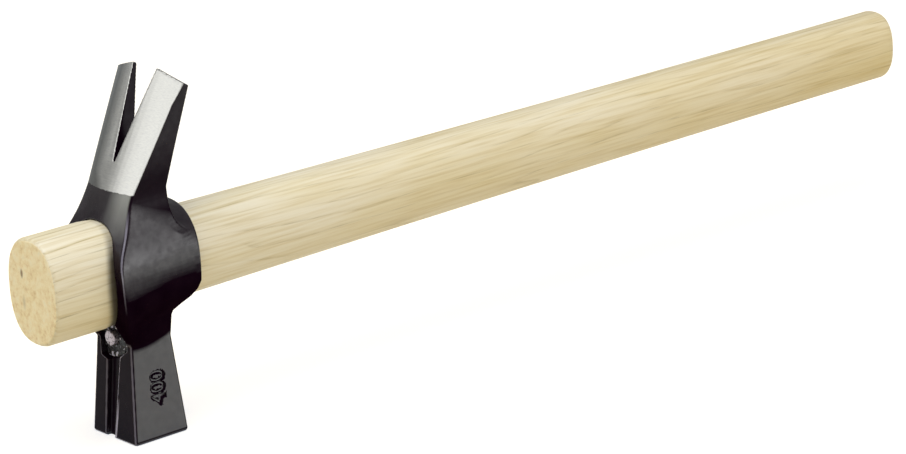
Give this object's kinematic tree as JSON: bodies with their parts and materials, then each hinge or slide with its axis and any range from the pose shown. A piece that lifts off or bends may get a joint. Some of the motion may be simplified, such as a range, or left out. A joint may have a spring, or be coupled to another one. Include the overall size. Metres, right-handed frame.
{
  "type": "claw hammer",
  "caption": "Carpenter's claw hammer: square striking block, split upright claws and an oval eye in one forged head, on a long straight wooden handle that runs through the eye.",
  "frame": {"origin": "middle of the striking face", "axes": "+X along the handle from the head to the grip, +Y across the head, +Z from the striking face up to the claws"},
  "size_m": [0.432, 0.0406, 0.1343],
  "materials": {
    "head": "forged steel in glossy black lacquer, front of the claws ground bright",
    "handle": "pale ash, sanded, with a thin satin varnish",
    "magnet": "dull grey magnet face",
    "magnet_adhesive": "hardened black adhesive, glossy and lumpy"
  },
  "bodies": {
    "root": {"head": "head", "handle": "handle", "magnet": "magnet", "magnet_adhesive": "magnet_adhesive"}
  },
  "joints": []
}
